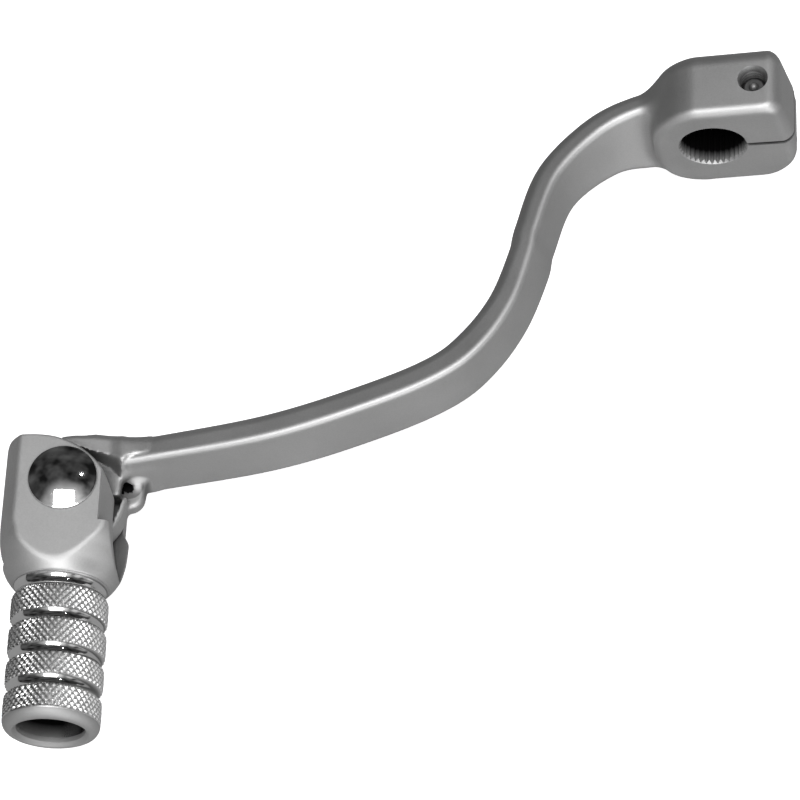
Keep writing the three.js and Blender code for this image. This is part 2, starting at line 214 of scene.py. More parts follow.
def along_arm(x, y):
    """(place along the arm's line, offset towards its front, distance past either end)."""
    shape = np.broadcast(x, y).shape
    p = np.stack([np.broadcast_to(x, shape).ravel(), np.broadcast_to(y, shape).ravel()], 1).astype(float)
    last = len(ARM_LINE) - 1
    coarse = np.linspace(0, last, 12 * last + 1)
    stations = catmull(ARM_LINE, coarse)[0]
    t = np.empty(len(p))
    for i in range(0, len(p), 50000):
        d = ((p[i:i + 50000, None] - stations[None]) ** 2).sum(2)
        t[i:i + 50000] = coarse[d.argmin(1)]
    for _ in range(4):
        c, c1, c2 = catmull(ARM_LINE, t)
        gap = p - c
        slope = -(c1 ** 2).sum(1) + (gap * c2).sum(1)
        step = (gap * c1).sum(1) / np.where(slope < -1e-3, slope, -1e3)
        t = np.clip(t - np.clip(step, -0.1, 0.1), 0, last)
    c, c1, _ = catmull(ARM_LINE, t)
    unit = c1 / np.linalg.norm(c1, axis=1)[:, None]
    gap = p - c
    front = gap[:, 0] * unit[:, 1] - gap[:, 1] * unit[:, 0]
    ahead = (gap * unit).sum(1)
    past = np.where(t <= 0, -ahead, np.where(t >= last, ahead, -1.0))
    return t.reshape(shape), front.reshape(shape), past.reshape(shape)


def arm_field(x, y, z):
    t, u, past = along_arm(x, y)
    stations = np.arange(len(ARM_LINE))

    def smooth_station(values):
        fine = np.linspace(0, len(values) - 1, 400)
        line = catmull(np.column_stack([stations, values]).astype(float), fine)[0][:, 1]
        return np.interp(t, fine, line)

    back, lean = smooth_station(ARM_BACK), smooth_station(ARM_LEAN)
    top, low = smooth_station(ARM_TOP), smooth_station(ARM_LOW)
    front_face = (u - ARM_FRONT - lean * (top - z)) / np.sqrt(1 + lean * lean)
    back_face = -u - back
    crown = (z - top) * math.cos(CROWN_FALL) + (ARM_FRONT - u) * math.sin(CROWN_FALL)
    under = low - z + UNDERSIDE_FALL * (ARM_FRONT - u)
    body = round_and(round_and(back_face, crown, ARM_RADIUS["back"]), under, ARM_RADIUS["back"])
    body = round_and(body, front_face, ARM_RADIUS["ridge"])
    return round_and(body, past - ARM_PAST, ARM_RADIUS["end"])


def boss_field(x, y, z):
    b, c = BOSS, BOSS_CORNER
    left, right = b["left"] - x, x - b["right"] + b["lean"] * np.maximum(z, 0)
    low = b["bottom"] + b["bottom_slope"] * x - z
    high = z - b["top"] - b["top_slope"] * x
    top_radius = c["top_left"] + (c["top_right"] - c["top_left"]) * smooth(x, *BOSS_BLEND["top"])
    outline = round_and(round_and(left, low, c["bottom_left"]), right, c["bottom_right"])
    outline = round_and(outline, high, top_radius)
    low_side, right_side = smooth(-z, *BOSS_BLEND["low"]), smooth(x, *BOSS_BLEND["side"])
    front_edge = b["edge"] + (b["low_edge"] - b["edge"]) * low_side
    front_edge = front_edge + (b["side_edge"] - b["edge"]) * right_side
    back_edge = b["back_edge"] + (b["back_low_edge"] - b["back_edge"]) * low_side
    body = round_and(outline, -y - b["half"], front_edge)
    return round_and(body, y - b["back"], back_edge)


WELL_INSIDE = -9.0  # a distance that leaves what it is intersected with as it is


def slab(z, low, high):
    return np.maximum(low - z, z - high)


def ear_sweep(x, y):
    """How far from the pin the upper ear reaches as it folds past this direction."""
    return SWEEP["far"] + (SWEEP["near"] - SWEEP["far"]) * smooth(np.arctan2(y, x), *SWEEP["angles"])


def knuckle_field(x, y, z):
    """The arm's end and its tongue in one: it thins to the tongue within the ears' sweep."""
    from_pin = np.hypot(x, y)
    swept = ear_sweep(x, y)
    ramp = WEB["ramp"] + WEB["ramp_growth"] * (swept - SWEEP["near"])
    up = smooth(from_pin, swept, swept + ramp) * smooth(polygon(KNUCKLE_PLAN, x, y), *WEB["rim"])
    fall = WEB["back_fall"] * (y - WEB["level_at"]) + WEB["right_fall"] * smooth(x, *WEB["right"])
    top = TONGUE["top"] + (KNUCKLE["high"] - TONGUE["top"] - fall) * up
    low = TONGUE["low"] + (KNUCKLE["low"] - TONGUE["low"]) * smooth(from_pin, *KNUCKLE["drop"])
    leant = y + KNUCKLE["lean"] * (KNUCKLE["high"] - z) * smooth(x, *KNUCKLE["lean_from"])
    open_corner = np.maximum(np.maximum(TONGUE["corner"] - x, TONGUE["corner_y"] - y), TONGUE["corner_z"] - z)
    disc = round_cut(from_pin - TONGUE["radius"], open_corner, SOFT["small"])
    plan = round_or(disc, polygon(KNUCKLE_PLAN, x, leant), SOFT["medium"])
    edge = WEB["edge"] + WEB["back_edge"] * smooth(y, *WEB["back"])
    # the factors keep the two sloping faces near to true distances
    body = round_and(round_and(plan, (z - top) * 0.93, edge), (low - z) * 0.8, TONGUE["edge"])
    lug = np.hypot(x - LUG["x"], y - LUG["y"]) - LUG["radius"]
    lug = round_and(lug, slab(z, TONGUE["low"], LUG["top"]), LUG["edge"])
    body = round_or(body, lug, LUG["fillet"])
    trough = np.maximum(np.maximum(from_pin - TONGUE["rim"], y), np.maximum(-x, RECESS["floor"] - z))
    return round_cut(body, trough, SOFT["fine"])


def domed_hole(hollow, x, y, z):
    """An upright hole that is closed above by half a ball and ends just over the tongue's underside."""
    over = np.maximum(z - hollow["top"] + hollow["radius"], 0)
    hole = np.sqrt((x - hollow["x"]) ** 2 + (y - hollow["y"]) ** 2 + over ** 2) - hollow["radius"]
    return np.maximum(hole, TONGUE["low"] + HOLLOW_FLOOR - z)


def lever_field(x, y, z):
    """The forging with its hinge tongue, in boss axes, before its bores are cut."""
    hx, hy, hz = to_hinge(x, y, z)
    from_pin = np.hypot(hx, hy)
    upper = np.maximum(from_pin - ear_sweep(hx, hy), TONGUE["top"] - hz)
    lower = np.maximum(from_pin - SWEEP["lower"], hz - TONGUE["low"])
    arm = round_cut(round_cut(arm_field(x, y, z), upper, SOFT["medium"]), lower, 0.4)
    body = round_or(arm, knuckle_field(hx, hy, hz), KNUCKLE["fillet"])
    body = round_cut(round_cut(body, upper, SOFT["fine"]), lower, SOFT["fine"])
    for hollow in (ARCH, POCKET):
        body = round_cut(body, domed_hole(hollow, hx, hy, hz), SOFT["small"])
    return round_or(body, boss_field(x, y, z), NECK_FILLET)


def peg_shift(y):
    """How far the peg's axis stands to the right of the pin's."""
    return (PEG["shift"] + PEG["lean"] * (GROOVES[0][0] - y)) * smooth(-y, *PEG["lean_from"])


def clevis_field(x, y, z):
    """The folding tip's forked body, in hinge axes."""
    fine = np.linspace(0, len(SHOULDER) - 1, 200)
    sides, crown = (catmull(profile[::-1], fine)[0] for profile in (SHOULDER, SHOULDER_TOP))
    far = np.hypot(x - peg_shift(y), z)
    share = smooth(z / np.maximum(far, 1), *CROWN_SHARE)
    at_sides, at_crown = (np.interp(y, line[:, 1], line[:, 0]) for line in (sides, crown))
    skewed = share * smooth(-y, *SHOULDER_SKEW["comes"]) * smooth(y, *SHOULDER_SKEW["goes"])
    radius = at_sides * (1 - share) + at_crown * share - SHOULDER_SKEW["rise"] * x * skewed
    turned = (far - radius) * 0.9  # the cone's slope makes this near to a true distance
    body = round_and(turned, np.abs(x) - BODY["side"], BODY["side_edge"])
    outline = np.maximum(y - BODY["rear"], GROOVES[0][0] - y)
    arc = np.hypot(x - EAR_ARC["x"], y - EAR_ARC["y"]) - EAR_ARC["radius"]
    beyond = x + EAR_ARC_SIDE * y > EAR_ARC["x"] + EAR_ARC_SIDE * EAR_ARC["y"]
    arc = np.where(beyond & (y > RELIEF["end"]), arc, WELL_INSIDE)
    upper_rear = round_and(outline, arc, EAR_EDGE["upper"])
    lower_arc = np.where((x > 0) & (y > 0), np.hypot(x, y) - LOWER_EAR, WELL_INSIDE)
    lower_rear = round_and(outline, lower_arc, EAR_EDGE["lower"])
    rear = np.where(z > 0, upper_rear, lower_rear)
    rear = round_and(rear, -x - BODY["side"], BODY["corner"])
    body = round_and(body, rear, BODY["edge"])
    body = round_and(body, slab(z, -BODY["flat"], BODY["high"]), BODY["edge"])
    r = RELIEF
    side = (x - r["bottom"]) + (z - SLOT["half"]) * (r["bottom"] - r["top"]) / (BODY["high"] - SLOT["half"])
    body = round_and(body, np.where((z > 0) & (y > r["end"]), side / 1.07, WELL_INSIDE), SOFT["fine"])
    upwards = smooth(y, r["lower_end"] - r["blend"], r["lower_end"])
    lower_side = r["belly"] - (r["belly"] - r["lower"]) * upwards
    body = round_and(body, np.where(z < 0, x - lower_side, WELL_INSIDE), SOFT["fine"])
    scoop = np.maximum(np.hypot(x - SCOOP["x"], y - SCOOP["y"]) - SCOOP["radius"], -SLOT["half"] - z)
    slot = np.maximum(np.abs(z) - SLOT["half"], SLOT["end"] - y)
    return round_cut(round_cut(body, scoop, SLOT["edge"]), slot, SLOT["edge"])


# ---------------------------------------------------------------- meshes from fields
CORNERS = np.array([(i, j, k) for i in (0, 1) for j in (0, 1) for k in (0, 1)])
EDGES = [(a, b) for a in range(8) for b in range(a + 1, 8) if bin(a ^ b).count("1") == 1]


def pull_onto(field, points, step, passes=3):
    """Moves points onto the field's zero level along its slope."""
    reach = 0.02
    for _ in range(passes):
        here = field(*points.T)
        slope = np.stack([
            (field(*(points + d).T) - field(*(points - d).T)) / (2 * reach)
            for d in np.eye(3) * reach], 1)
        size = np.maximum((slope ** 2).sum(1), 0.2)
        move = -(here / size)[:, None] * slope
        points = points + np.clip(move, -step / 2, step / 2)
    return points


def surface_net(field, low, high, step):
    """Vertices and quads of the field's zero level: one vertex in each cell the level crosses."""
    low = np.array(low, float)
    n = np.ceil((np.array(high) - low) / step).astype(int) + 1
    x, y, z = np.ogrid[0:n[0], 0:n[1], 0:n[2]]
    value = np.broadcast_to(field(low[0] + step * x, low[1] + step * y, low[2] + step * z), n)
    inside = value < 0
    count = sum(inside[i:n[0] - 1 + i, j:n[1] - 1 + j, k:n[2] - 1 + k].astype(np.int8) for i, j, k in CORNERS)
    cells = np.argwhere((count > 0) & (count < 8))
    index = np.full(n - 1, -1)
    index[tuple(cells.T)] = np.arange(len(cells))
    at_corner = np.stack([value[tuple((cells + c).T)] for c in CORNERS], 1)
    total, hits = np.zeros((len(cells), 3)), np.zeros((len(cells), 1))
    for a, b in EDGES:
        va, vb = at_corner[:, a], at_corner[:, b]
        crossed = (va < 0) != (vb < 0)
        t = np.where(crossed, va / np.where(crossed, va - vb, 1), 0)[:, None]
        total += np.where(crossed[:, None], CORNERS[a] + t * (CORNERS[b] - CORNERS[a]), 0)
        hits += crossed[:, None]
    points = pull_onto(field, low + step * (cells + total / hits), step)
    quads = []
    for axis in range(3):
        u, v = (axis + 1) % 3, (axis + 2) % 3
        near, far = [slice(None)] * 3, [slice(None)] * 3
        near[axis], far[axis] = slice(0, -1), slice(1, None)
        e = np.argwhere(inside[tuple(near)] != inside[tuple(far)])
        e = e[(e[:, u] > 0) & (e[:, v] > 0) & (e[:, u] < n[u] - 1) & (e[:, v] < n[v] - 1)]
        du, dv = np.eye(3, dtype=int)[u], np.eye(3, dtype=int)[v]
        q = np.stack([index[tuple((e - a * du - b * dv).T)] for a, b in ((1, 1), (0, 1), (0, 0), (1, 0))], 1)
        outward = inside[tuple(e.T)]
        quads.append(np.where(outward[:, None], q, q[:, ::-1]))
    return points, np.vstack(quads)


# ---------------------------------------------------------------- objects
def hinge_to_row(points):
    return (np.asarray(points) + HINGE) * MM


def boss_to_row(points):
    c, s = math.cos(ARM_TILT), math.sin(ARM_TILT)
    p = np.asarray(points, float)
    turned = np.stack([p[:, 0] * c - p[:, 2] * s, p[:, 1], p[:, 0] * s + p[:, 2] * c], 1)
    return (turned + BORE) * MM


def make_object(name, points, faces):
    mesh = bpy.data.meshes.new(name)
    mesh.from_pydata(np.asarray(points).tolist(), [], faces if isinstance(faces, list) else faces.tolist())
    mesh.validate()
    mesh.update()
    made = bpy.data.objects.new(name, mesh)
    bpy.context.scene.collection.objects.link(made)
    return made


def revolve(profile, facets):
    """A closed body turned about Z from (radius, z) pairs that start and end on the axis."""
    ring = np.linspace(0, 2 * math.pi, facets, endpoint=False)
    points, rows = [], []
    for r, z in profile:
        if r < 1e-9:
            rows.append([len(points)] * facets)
            points.append((0, 0, z))
        else:
            rows.append(list(range(len(points), len(points) + facets)))
            points.extend(zip(r * np.cos(ring), r * np.sin(ring), [z] * facets))
    faces = []
    for a, b in zip(rows, rows[1:]):
        for i in range(facets):
            j = (i + 1) % facets
            face = list(dict.fromkeys((a[i], a[j], b[j], b[i])))
            if len(face) > 2:
                faces.append(face)
    return np.array(points, float), faces


def prism(outline, low, high):
    """A plan outline (counter-clockwise) stood up between two heights."""
    n = len(outline)
    points = [(x, y, low) for x, y in outline] + [(x, y, high) for x, y in outline]
    faces = [list(range(n))[::-1], list(range(n, 2 * n))]
    faces += [[i, (i + 1) % n, (i + 1) % n + n, i + n] for i in range(n)]
    return np.array(points, float), faces


def arc(radius, low, high, count):
    return [(radius * math.cos(t), radius * math.sin(t)) for t in np.linspace(low, high, count)]


def along_y(points):
    """Turns what was made about Z to lie about Y."""
    return np.stack([points[:, 0], -points[:, 2], points[:, 1]], 1)


def take(obj, other, operation="DIFFERENCE"):
    """Applies a boolean with other, which is then removed. EXACT steps in where MANIFOLD changes nothing."""
    for solver in ("MANIFOLD", "EXACT"):
        modifier = obj.modifiers.new("cut", "BOOLEAN")
        modifier.operation = operation
        modifier.object = other
        modifier.solver = solver
        before = len(obj.data.vertices)
        graph = bpy.context.evaluated_depsgraph_get()
        result = bpy.data.meshes.new_from_object(obj.evaluated_get(graph))
        obj.modifiers.remove(modifier)
        if len(result.vertices) not in (0, before):
            obj.data = result
            break
        print("boolean", obj.name, other.name, solver, "had no effect")
    bpy.data.objects.remove(other)


def finish_shading(obj, angle=32):
    """Smooth shading, with a crease wherever two faces meet at more than the angle."""
    mesh = obj.data
    mesh.shade_smooth()
    mesh.set_sharp_from_angle(angle=math.radians(angle))


def ridden(obj, body, slot, material, *replaced):
    finish_shading(obj)
    obj.data.materials.clear()
    obj.data.materials.append(material)
    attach(obj, body)
    if replaced:
        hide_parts(*replaced)
    return obj


# ---------------------------------------------------------------- materials
class Nodes:
    """Shader nodes that work out numbers from a place."""

    def __init__(self, tree, coordinate):
        self.nodes, self.links = tree.nodes, tree.links
        self.place = self.nodes.new("ShaderNodeTexCoord").outputs[coordinate]

    def add(self, kind, **inputs):
        node = self.nodes.new("ShaderNode" + kind)
        for key, value in inputs.items():
            if key in node.inputs:
                self.set(node.inputs[key], value)
            else:
                setattr(node, key, value)
        return node

    def set(self, socket, value):
        if isinstance(value, bpy.types.NodeSocket):
            self.links.new(value, socket)
        else:
            socket.default_value = value

    def math(self, operation, a, b=0.0, c=0.0):
        node = self.nodes.new("ShaderNodeMath")
        node.operation = operation
        for socket, value in zip(node.inputs, (a, b, c)):
            self.set(socket, value)
        return node.outputs[0]

    def times(self, first, *others):
        for other in others:
            first = self.math("MULTIPLY", first, other)
        return first

    def less(self, value):
        """1 - value."""
        return self.math("SUBTRACT", 1.0, value)

    def dot(self, vector, direction):
        node = self.add("VectorMath", operation="DOT_PRODUCT")
        self.set(node.inputs[0], vector)
        node.inputs[1].default_value = direction
        return node.outputs["Value"]

    def span(self, fac, low, high, start=0.3, end=0.7, interpolation="LINEAR"):
        """Goes from low to high as fac goes from start to end."""
        node = self.add("MapRange", interpolation_type=interpolation, Value=fac)
        for key, value in (("From Min", start), ("From Max", end), ("To Min", low), ("To Max", high)):
            self.set(node.inputs[key], value)
        return node.outputs[0]


class Look(Nodes):
    """One procedural material: base grey, roughness and bump, each with its own variation."""

    def __init__(self, name):
        self.material = bpy.data.materials.new(name)
        self.material.use_nodes = True
        super().__init__(self.material.node_tree, "Object")
        self.shader = self.nodes["Principled BSDF"]

    def noise(self, size_mm, detail=3.0, stretch=None):
        place = self.add("Mapping", Vector=self.place, Scale=stretch).outputs[0] if stretch else self.place
        return self.add("TexNoise", Vector=place, Scale=1 / (size_mm * MM), Detail=detail).outputs["Fac"]

    def mix(self, fac, a, b):
        """Number between a and b."""
        node = self.add("Mix", data_type="FLOAT")
        for socket, value in zip((node.inputs[0], node.inputs[2], node.inputs[3]), (fac, a, b)):
            self.set(socket, value)
        return node.outputs[0]

    def grey(self, value, tint=(1, 1, 1)):
        node = self.nodes.new("ShaderNodeCombineXYZ")
        for i in range(3):
            self.set(node.inputs[i], self.math("MULTIPLY", value, tint[i]))
        return node.outputs[0]

    def bump(self, height, depth_mm, strength=1.0):
        return self.add("Bump", Strength=strength, Distance=depth_mm * MM, Height=height).outputs[0]

    def along(self, axis, origin):
        """Millimetres from a row-frame point along one axis."""
        parts = self.add("SeparateXYZ", Vector=self.place)
        k = "XYZ".index(axis)
        return self.math("DIVIDE", self.math("SUBTRACT", parts.outputs[k], float(origin[k]) * MM), MM)

    def from_axis(self, origin, plane):
        """Millimetres from a line through a point, square to the plane."""
        a, b = (self.along(axis, origin) for axis in plane)
        return self.math("SQRT", self.math("ADD", self.times(a, a), self.times(b, b)))

    def near_axis(self, origin, plane, radius, soft):
        """1 within a radius of such a line, falling to 0 beyond it."""
        return self.span(self.from_axis(origin, plane), 1.0, 0.0, radius, radius + soft)

    def open_share(self, distance_mm):
        """1 on open surfaces, falling towards 0 in corners and holes."""
        node = self.nodes.new("ShaderNodeAmbientOcclusion")
        node.samples = 8
        node.inputs["Distance"].default_value = distance_mm * MM
        return node.outputs["AO"]

    def facing(self, direction, low, start, end):
        """1 on most surfaces, falling to low on those that face a direction."""
        normal = self.nodes.new("ShaderNodeNewGeometry").outputs["Normal"]
        return self.span(self.dot(normal, Vector(direction).normalized()), 1.0, low, start, end)

    def done(self, grey, roughness, normal, metallic=1.0, tint=(1, 1, 1)):
        self.set(self.shader.inputs["Base Color"], self.grey(grey, tint))
        self.set(self.shader.inputs["Roughness"], roughness)
        self.set(self.shader.inputs["Metallic"], metallic)
        self.set(self.shader.inputs["Normal"], normal)
        return self.material


SATIN_GREY, SATIN_ROUGHNESS, SATIN_METALLIC = 0.50, 0.56, 0.88


def satin_base(look, grey, roughness):
    """(grey, roughness, grain) of bead-blasted, clear-anodised aluminium with faint cloudy patches, and
    painted shade in its corners and holes.
    """
    cloud = look.noise(14, 4)
    grain = look.noise(0.28, 2)
    # painted shade: darker where corners and holes hem the surface in
    painted_corner_shade = look.span(look.open_share(5.0), 0.2, 1.0, 0.25, 0.88)
    shade = look.times(look.span(cloud, grey * 0.96, grey * 1.03), look.span(grain, 0.95, 1.05), painted_corner_shade)
    broad = look.span(cloud, roughness * 0.96, roughness * 1.05)
    return shade, look.math("ADD", broad, look.span(grain, -0.03, 0.03)), grain


def forging_metal():
    """Satin metal with painted shade: darker on faces turned to the left and up, over the lug beside the
    spring's pocket, deep inside the bore, and near black in the spring's pocket.
    """
    look = Look("satin_forging")
    shade, rough, grain = satin_base(look, SATIN_GREY, SATIN_ROUGHNESS)
    # painted shade: faces turned to the left and up are darker
    shade = look.times(shade, look.facing((-0.85, 0.3, 0.35), 0.66, 0.5, 0.95))
    # painted shade: the bore darkens from its face inwards
    in_bore = look.near_axis(BORE, "XZ", SPLINE["root"] + 0.02, 0.35)
    deep = look.span(look.along("Y", BORE), 0.5, 0.006, -BOSS["half"], -BOSS["half"] + 2.8)
    # painted shadow: the spring's pocket below the pin is painted near black
    pocket = HINGE + [POCKET["x"], POCKET["y"], 0]
    in_pocket = look.near_axis(pocket, "XY", POCKET["radius"] + 0.9, 0.2)
    low = look.span(look.along("Z", HINGE), 1.0, 0.0, -0.6, 0.6)
    # painted shade over the lug, which takes away its highlight
    lug_rim = look.times(look.near_axis(pocket, "XY", LUG["radius"] + 0.6, 0.8), low)
    shade = look.times(shade, look.less(look.times(lug_rim, 0.45)))
    shade = look.mix(in_bore, shade, deep)
    shade = look.mix(look.times(in_pocket, low), shade, 0.008)
    return look.done(shade, rough, look.bump(grain, 0.012, 0.6), metallic=SATIN_METALLIC)


def tip_metal():
    """Satin body with painted shade inside its slot and deep in the peg's bore; the peg's turned grooves are
    polished, and its knurl has painted shade in its grooves and a painted highlight on its crests.
    """
    look = Look("satin_tip")
    shade, rough, grain = satin_base(look, SATIN_GREY, SATIN_ROUGHNESS)
    far, along, up = look.from_axis(HINGE, "XZ"), look.along("Y", HINGE), look.along("Z", HINGE)

    def within(value, edge, soft):
        return look.span(value, 1.0, 0.0, edge, edge + soft)

    ahead = within(along, GROOVES[0][0] - 0.15, 0.2)
    end_ring = within(along, PEG["knurl_end"] + 0.05, 0.2)
    inner = within(far, PEG["bore"] + 0.1, 0.3)
    inner_bore = look.times(inner, within(along, SHOULDER[-1][1] - 2, 1))
    knurl = look.times(ahead, look.less(end_ring))
    groove = look.times(within(far, PEG["groove"] + 0.31, 0.05), knurl, look.less(inner))
    slot = look.times(within(look.math("ABSOLUTE", up), SLOT["half"] + 0.05, 0.15),
                      look.less(within(along, SLOT["end"] - 0.05, 0.1)))
    lathe = look.noise(0.16, 2, (0.02, 1.0, 0.02))
    # painted shade inside the slot between the ears
    shade = look.mix(slot, shade, look.times(shade, 0.3))
    # knurl: painted shade down in its grooves, painted highlight on its crests
    shade = look.mix(knurl, shade, look.span(far, 0.16, 0.70, PEG["radius"] - 0.36, PEG["radius"] - 0.06))
    shade = look.mix(groove, shade, 0.9)
    # painted shade: the peg's bore darkens with depth
    shade = look.mix(inner_bore, shade, look.span(along, 0.40, 0.006, PEG["end"] + 0.8, PEG["end"] + 4.2))
    shade = look.mix(end_ring, shade, look.times(shade, 0.85))
    rough = look.mix(end_ring, rough, look.math("ADD", rough, 0.12))
    rough = look.mix(knurl, rough, look.span(grain, 0.28, 0.38))
    rough = look.mix(groove, rough, look.span(lathe, 0.04, 0.10))
    height = look.mix(groove, grain, look.times(lathe, 0.25))
    metallic = look.mix(groove, look.mix(knurl, SATIN_METALLIC, 0.75), 1.0)
    return look.done(shade, rough, look.bump(height, 0.012, 0.6), metallic=metallic)


def polished(name, grey, roughness):
    """Plated and polished steel with faint hairlines and a few dull specks."""
    look = Look(name)
    hair = look.noise(0.1, 2, (1.0, 0.06, 0.3))
    speck = look.span(look.noise(0.35, 1), 0.0, 0.1, 0.72, 0.78)
    smear = look.noise(5, 3)
    rough = look.math("ADD", look.span(smear, roughness * 0.7, roughness * 1.5), speck)
    return look.done(look.span(smear, grey * 0.97, grey), rough, look.bump(hair, 0.0006, 0.3))


def turned_metal(name, grey, roughness, tint=(1, 1, 1), depth_mm=0.01, stretch=(0.1, 0.1, 1.0)):
    """Machined metal with tool marks across one direction, and painted shade in its corners."""
    look = Look(name)
    marks = look.noise(0.12, 3, stretch)
    stain = look.noise(3, 4)
    # painted shade in the corners
    painted_corner_shade = look.span(look.open_share(1.0), 0.5, 1.0, 0.2, 0.8)
    shade = look.times(look.span(stain, grey * 0.85, grey * 1.1), painted_corner_shade)
    broad = look.span(stain, roughness * 0.85, roughness * 1.2)
    rough = look.math("ADD", broad, look.span(marks, -0.04, 0.04))
    return look.done(shade, rough, look.bump(marks, depth_mm, 0.6), tint=tint)


SATIN_FORGING = forging_metal()
SATIN_TIP = tip_metal()
POLISHED = polished("polished_pin", 0.82, 0.05)
BOLT_STEEL = turned_metal("bolt_steel", 0.18, 0.55)
BRONZE = turned_metal("bush_bronze", 0.75, 0.35, tint=(0.95, 0.68, 0.36))
SPRING_STEEL = turned_metal("spring_steel", 0.4, 0.32, depth_mm=0.006)
WASHER_STEEL = turned_metal("washer_steel", 0.62, 0.3, stretch=(1.0, 0.1, 0.1))
CLIP_STEEL = turned_metal("clip_steel", 0.16, 0.4)


# ---------------------------------------------------------------- lever arm
def cut(piece, name, made, to_row, at=(0, 0, 0), operation="DIFFERENCE"):
    """Cuts a piece with a closed (points, faces) body set at a place, or joins or intersects the two."""
    points, faces = made
    take(piece, make_object(name, to_row(points + np.array(at)), faces), operation)


def net_piece(name, field, low, high, step, to_row):
    points, faces = surface_net(field, low, high, step)
    return make_object(name, to_row(points), faces)


def thread_rows(start, stop, turn):
    """(radius, z) rows of a thread whose one turn is given as (offset from the radius, rise)."""
    rows, z = [], start
    while z < stop - THREAD["runout"]:
        rows += [(TAPPED["radius"] + out, z + rise) for out, rise in turn]
        z += THREAD["pitch"]
    return rows


def boss_top(x):
    return BOSS["top"] + BOSS["top_slope"] * x


def cut_clamp(arm):
    """The serrated bore with its two bevelled rims, and the slit that lets it close."""
    outline = []
    for i in range(SPLINE["teeth"]):
        for radius, pitches in TOOTH:
            a = (i + pitches) * 2 * math.pi / SPLINE["teeth"]
            outline.append((radius * math.cos(a), radius * math.sin(a)))
    wide = BOSS["half"] + THROUGH
    points, faces = prism(outline, -wide, wide)
    cut(arm, "bore", (along_y(points), faces), boss_to_row)
    for side, face in ((1, BOSS["half"]), (-1, BOSS["back"])):
        out = face + 0.6
        profile = [(0, face - 1.2), (SPLINE["tip"] - 0.1, face - 0.75), (SPLINE["root"] + 0.5, out), (0, out)]
        points, faces = revolve(profile, 96)
        cut(arm, "bore_rim", (along_y(points) * [1, side, side], faces), boss_to_row)
    end = BOSS["right"] + 4
    points, faces = prism([(0, -SLIT / 2), (end, -SLIT / 2), (end, SLIT / 2), (0, SLIT / 2)], -wide, wide)
    cut(arm, "slit", (along_y(points), faces), boss_to_row, (0, 0, -0.15))


def cut_bolt_hole(arm):
    """From below: spot face, clearance hole, then the thread up to its countersunk mouth."""
    top, seat, clear = boss_top(BOLT["x"]), SPOT_FACE["z"], BOLT["shank"] + GAP
    hole = [(0, seat - 8), (SPOT_FACE["radius"], seat - 8), (SPOT_FACE["radius"], seat), (clear, seat),
            (clear, THREAD["hole_from"])]
    hole += thread_rows(THREAD["hole_from"], top, [(0.35, 0.25), (-0.1, 0.5)])
    hole += [(TAPPED["radius"], top - TAPPED["mouth_deep"] - 0.3), (TAPPED["mouth"] + 0.15, top + 0.1),
             (TAPPED["mouth"] + 0.9, top + 0.8), (0, top + 0.8)]
    cut(arm, "bolt_hole", revolve(hole, 64), boss_to_row, (BOLT["x"], BOLT["y"], 0))


def cut_hinge(arm):
    """The bush's bore, the spring's recess round it and the channel for the spring's leg."""
    outer, recess, floor, past = BUSH["outer"] + GAP / 2, RECESS["radius"], RECESS["floor"], 9
    profile = [(0, -past), (outer, -past), (outer, floor), (recess, floor), (recess, past), (0, past)]
    cut(arm, "bush_bore", revolve(profile, 96), hinge_to_row)
    c, far = CHANNEL, POCKET["x"] - 0.6
    points, faces = prism([(0, -c["half"]), (far, -c["half"]), (far, c["half"]), (0, c["half"])],
                          c["floor"], c["top"])
    spin = np.array(Matrix.Rotation(c["angle"], 3, "Z"))
    cut(arm, "leg_channel", (points @ spin.T, faces), hinge_to_row)


def lever_arm():
    # Known fault: this grid ends at the pin (x -121). The tongue reaches to x -131.6, so its left half is
    # missing and the net is open there, which is why take() falls back to EXACT.
    low, high = (-121.0, -88.0, -13.5), (17.5, 10.0, 14.8)
    arm = net_piece("lever_arm_forging", lever_field, low, high, 0.36, boss_to_row)
    cut_clamp(arm)
    cut_bolt_hole(arm)
    cut_hinge(arm)
    return ridden(arm, "lever", "satin_forging", SATIN_FORGING, "lever_arm")


# ---------------------------------------------------------------- folding tip
def knurled(theta, y):
    """Outer radius of the peg before its grooves, with rolled diamonds."""
    pitch = 2 * math.pi * PEG["radius"] / KNURL["starts"]
    turn = KNURL["starts"] * theta / (2 * math.pi)
    shift = y * math.tan(KNURL["helix"]) / pitch
    depth = 0
    for phase in (turn + shift, turn - shift):
        from_groove = 1 - np.abs(phase - np.floor(phase) - 0.5) * 2
        depth = np.maximum(depth, 1 - from_groove / KNURL["flank"])
    return PEG["radius"] - KNURL["deep"] * np.clip(depth, 0, 1)


def peg_rows():
    """(y, plain radius, whether knurled) down the outside of the peg, end ring included."""
    rows = [(SHOULDER[-1][1] + 1.6, SHOULDER[-1][0] - 1.0, False)]
    step = 0.13
    bands = [(a[1], b[0]) for a, b in zip(GROOVES, GROOVES[1:] + [[PEG["knurl_end"]]])]
    for (near, far), (start, stop) in zip(GROOVES, bands):
        middle, half = (near + far) / 2, (near - far) / 2
        for s in np.linspace(1, -1, 13):
            rows.append((middle + s * half, PEG["groove"] + 0.3 * (s * half) ** 2, False))
        count = int((start - stop) / step)
        for i in range(count + 1):
            y = start + (stop - start) * i / count
            edge = min(start - y, y - stop)
            crown = KNURL["crown"] * (1 - (edge / (start - stop) * 2 - 1) ** 2)
            bevel = max(0, 0.2 - edge) * 1.1
            rows.append((y, PEG["radius"] - 0.06 + crown - bevel, True))
    rows += [(PEG["knurl_end"] - 0.12, PEG["radius"] - 0.35, False)]
    r, squash = PEG["round"], 0.9
    for a in np.linspace(0, math.pi / 2, 9):
        radius = PEG["radius"] - 0.05 - squash * r + squash * r * math.cos(a)
        rows.append((PEG["end"] + r - r * math.sin(a), radius, False))
    return rows


